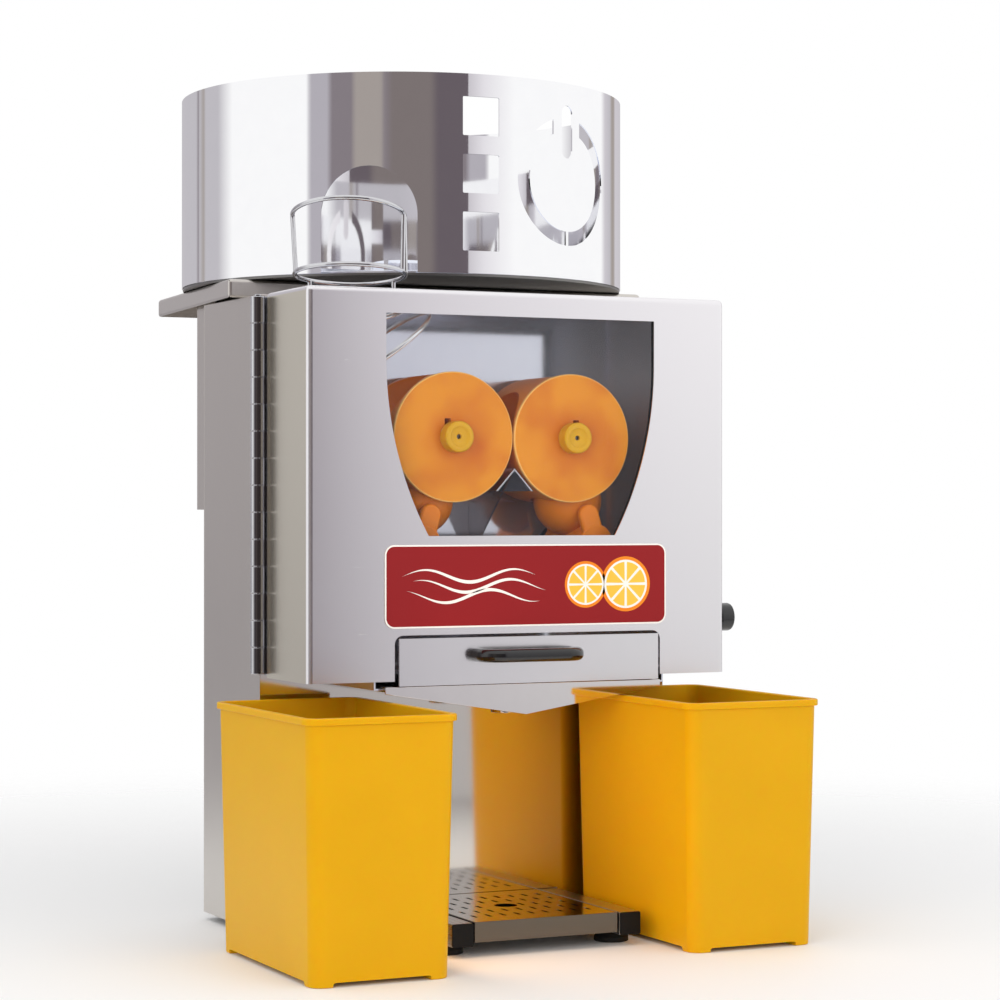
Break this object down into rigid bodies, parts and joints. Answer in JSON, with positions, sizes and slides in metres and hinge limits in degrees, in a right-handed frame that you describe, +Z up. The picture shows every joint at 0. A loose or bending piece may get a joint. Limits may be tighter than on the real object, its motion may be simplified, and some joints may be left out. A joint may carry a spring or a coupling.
{
  "type": "automatic orange juicer",
  "caption": "Countertop automatic citrus juicer with a feeder drum on top, squeezing drums behind a hinged windowed door, strainer drawer, juice tray, drip tray and peel bins.",
  "frame": {"origin": "middle of the outer box in plan, on the worktop", "axes": "+Z up, +X to the right as seen from the front, -Y towards the user at the front"},
  "size_m": [0.5016, 0.6272, 0.785],
  "materials": {
    "satin_stainless": "satin",
    "polished_stainless": "polished",
    "chromed_wire": "bright",
    "plain_steel": "turned",
    "cast_aluminium": "as cast",
    "yellow_polypropylene": "satin moulded",
    "orange_acetal": "satin machined",
    "yellow_acetal": "satin moulded",
    "black_abs": "gloss moulded",
    "black_rubber": "matt",
    "natural_nylon": "satin moulded",
    "red_label": "printed film",
    "green_abs": "gloss moulded",
    "red_abs": "gloss moulded",
    "clear_polycarbonate": "clear"
  },
  "bodies": {
    "base": {"column_housing": "satin_stainless", "rear_cover": "satin_stainless", "crossbar": "satin_stainless", "chamber_frame": "satin_stainless", "wedge_blade": "polished_stainless", "feed_guide": "chromed_wire", "bearing_plate": "cast_aluminium", "drive_shelf": "plain_steel", "gearbox": "cast_aluminium", "drive_motor": "plain_steel", "feeder_saddle": "satin_stainless", "feeder_support": "satin_stainless", "feeder_motor": "plain_steel", "drum_wall": "polished_stainless", "drum_floor": "satin_stainless", "drop_cage": "chromed_wire", "control_panel": "black_abs", "power_inlet": "black_abs", "column_hinge_leaf": "polished_stainless", "hinge_pin": "polished_stainless", "leg_left": "satin_stainless", "leg_right": "satin_stainless", "leg_cap_left": "black_abs", "leg_cap_right": "black_abs", "front_foot_left": "black_rubber", "front_foot_right": "black_rubber", "rear_foot_left": "black_rubber", "rear_foot_right": "black_rubber"},
    "door": {"door_shell": "satin_stainless", "window_pane": "clear_polycarbonate", "label_plate": "red_label", "door_pull": "black_abs", "door_hinge_leaf": "polished_stainless"},
    "upper_roller_right": {"upper_drum_right": "orange_acetal", "front_disc_right": "orange_acetal", "upper_shaft_right": "plain_steel", "upper_gear_right": "natural_nylon"},
    "upper_roller_left": {"upper_drum_left": "orange_acetal", "front_disc_left": "orange_acetal", "upper_shaft_left": "plain_steel", "upper_gear_left": "natural_nylon"},
    "lower_roller_right": {"ball_unit_right": "orange_acetal", "lower_shaft_right": "plain_steel", "lower_gear_right": "natural_nylon"},
    "lower_roller_left": {"ball_unit_left": "orange_acetal", "lower_shaft_left": "plain_steel", "lower_gear_left": "natural_nylon"},
    "knob_right": {"fixing_knob_right": "yellow_acetal"},
    "knob_left": {"fixing_knob_left": "yellow_acetal"},
    "drawer": {"filter_drawer": "satin_stainless", "drawer_handle": "black_abs", "strainer": "satin_stainless"},
    "tray": {"juice_tray": "satin_stainless"},
    "drip": {"drip_tray": "satin_stainless"},
    "grille": {"drip_grille": "satin_stainless"},
    "bin_left": {"peel_bin_left": "yellow_polypropylene"},
    "bin_right": {"peel_bin_right": "yellow_polypropylene"},
    "rotor": {"feed_rotor": "satin_stainless"},
    "start": {"start_button": "green_abs"},
    "stop": {"stop_button": "red_abs"}
  },
  "joints": [
    {"name": "door_swing", "type": "hinge", "parent": "base", "child": "door", "pos_m": [-0.202, -0.0677, 0.41], "axis": [0, 0, -1], "range_deg": [0, 135]},
    {"name": "upper_right_turn", "type": "hinge", "parent": "base", "child": "upper_roller_right", "pos_m": [0.0693, -0.1137, 0.453], "axis": [0, 1, 0], "continuous": true},
    {"name": "upper_left_turn", "type": "hinge", "parent": "base", "child": "upper_roller_left", "pos_m": [-0.0487, -0.1137, 0.453], "axis": [0, 1, 0], "continuous": true},
    {"name": "lower_right_turn", "type": "hinge", "parent": "base", "child": "lower_roller_right", "pos_m": [0.09673, -0.1137, 0.35857], "axis": [0, 1, 0], "continuous": true},
    {"name": "lower_left_turn", "type": "hinge", "parent": "base", "child": "lower_roller_left", "pos_m": [-0.07613, -0.1137, 0.35857], "axis": [0, 1, 0], "continuous": true},
    {"name": "knob_right_turn", "type": "hinge", "parent": "upper_roller_right", "child": "knob_right", "pos_m": [0.0693, -0.1617, 0.453], "axis": [0, -1, 0], "range_deg": [0, 90]},
    {"name": "knob_left_turn", "type": "hinge", "parent": "upper_roller_left", "child": "knob_left", "pos_m": [-0.0487, -0.1617, 0.453], "axis": [0, -1, 0], "range_deg": [0, 90]},
    {"name": "drawer_slide", "type": "slide", "parent": "base", "child": "drawer", "axis": [0, -1, 0], "range_m": [0, 0.12]},
    {"name": "juice_tray_slide", "type": "slide", "parent": "base", "child": "tray", "axis": [0, -1, 0], "range_m": [0, 0.12]},
    {"name": "drip_tray_slide", "type": "slide", "parent": "base", "child": "drip", "axis": [0, -1, 0], "range_m": [0, 0.16]},
    {"name": "grille_lift", "type": "slide", "parent": "drip", "child": "grille", "axis": [0, 0, 1], "range_m": [0, 0.03]},
    {"name": "bin_left_slide", "type": "slide", "parent": "base", "child": "bin_left", "axis": [0, -1, 0], "range_m": [0, 0.25]},
    {"name": "bin_right_slide", "type": "slide", "parent": "base", "child": "bin_right", "axis": [0, -1, 0], "range_m": [0, 0.25]},
    {"name": "rotor_turn", "type": "hinge", "parent": "base", "child": "rotor", "pos_m": [0.0103, 0.0986, 0.61], "axis": [0, 0, 1], "continuous": true},
    {"name": "start_press", "type": "slide", "parent": "base", "child": "start", "axis": [-1, 0, 0], "range_m": [0, 0.0025], "stiffness_N_per_m": 600},
    {"name": "stop_press", "type": "slide", "parent": "base", "child": "stop", "axis": [-1, 0, 0], "range_m": [0, 0.0025], "stiffness_N_per_m": 600}
  ],
  "couplings": [
    {"joint": "upper_left_turn", "follows": "upper_right_turn", "ratio": -1},
    {"joint": "lower_right_turn", "follows": "upper_right_turn", "ratio": -1.5},
    {"joint": "lower_left_turn", "follows": "upper_right_turn", "ratio": 1.5}
  ]
}
